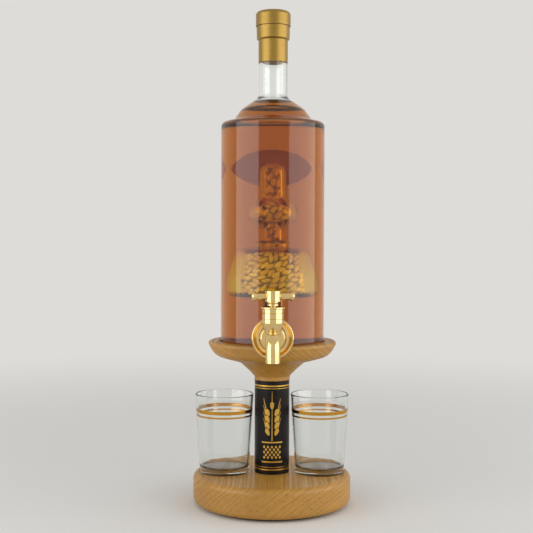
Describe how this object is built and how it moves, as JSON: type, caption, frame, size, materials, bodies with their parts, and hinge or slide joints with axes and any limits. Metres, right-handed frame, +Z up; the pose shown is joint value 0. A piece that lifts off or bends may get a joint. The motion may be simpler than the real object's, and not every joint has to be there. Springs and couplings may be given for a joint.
{
  "type": "whisky decanter with tap",
  "caption": "Glass whisky decanter with a blown pot-still figure of barley inside and a quarter-turn tap, seated in a turned oak bowl on a column, with an oak base that holds shot glasses.",
  "frame": {"origin": "centre of the underside of the felt that the base stands on", "axes": "+Z up along the column and the bottle; -Y points out of the front along the tap; the shot glasses stand at -X and +X"},
  "size_m": [0.1376, 0.1645, 0.4281],
  "materials": {
    "oak": "oiled, turned",
    "felt": "felt",
    "screw_steel": "zinc plated",
    "dark_wrap": "satin sleeve",
    "clear_glass": "clear, blown",
    "barley": "dry grain",
    "black_rubber": "matt",
    "whisky": "clear amber liquid",
    "label_paper": "plain paper",
    "gilt_film": "satin gold shrink film",
    "gilt_brass": "polished, gilt",
    "packing": "matt",
    "cork": "natural",
    "stopper_plastic": "matt"
  },
  "bodies": {
    "stand": {"base_disc": "oak", "base_felt": "felt", "base_screw": "screw_steel", "column_dowel": "oak", "column_wrap": "dark_wrap", "bowl": "oak", "bowl_screw": "screw_steel"},
    "bottle": {"bottle_glass": "clear_glass", "pot_still": "clear_glass", "barley_fill": "barley", "still_bung": "black_rubber", "whisky": "whisky", "rear_label": "label_paper", "capsule_sleeve": "gilt_film", "tap_bung": "black_rubber", "tap_washer": "black_rubber", "tap_rosette": "gilt_brass", "tap_body": "gilt_brass", "tap_bonnet": "gilt_brass", "gland_packing": "packing"},
    "stopper": {"stopper_cork": "cork", "stopper_head": "stopper_plastic", "capsule_top": "gilt_film"},
    "tap_key": {"tap_plug": "gilt_brass", "plug_seals": "black_rubber", "handle_hub": "gilt_brass", "handle_bar": "gilt_brass", "handle_tips": "gilt_brass", "handle_screw": "screw_steel"},
    "left_shot_glass": {"left_glass": "clear_glass"},
    "right_shot_glass": {"right_glass": "clear_glass"}
  },
  "joints": [
    {"name": "bottle_lift", "type": "slide", "parent": "stand", "child": "bottle", "axis": [0, 0, 1], "range_m": [0, 0.06]},
    {"name": "stopper_pull", "type": "slide", "parent": "bottle", "child": "stopper", "axis": [0, 0, 1], "range_m": [0, 0.045]},
    {"name": "tap_turn", "type": "hinge", "parent": "bottle", "child": "tap_key", "pos_m": [0, -0.074, 0.1505], "axis": [0, 0, 1], "range_deg": [-10, 80]},
    {"name": "left_glass_lift", "type": "slide", "parent": "stand", "child": "left_shot_glass", "axis": [0, 0, 1], "range_m": [0, 0.012]},
    {"name": "right_glass_lift", "type": "slide", "parent": "stand", "child": "right_shot_glass", "axis": [0, 0, 1], "range_m": [0, 0.012]}
  ]
}
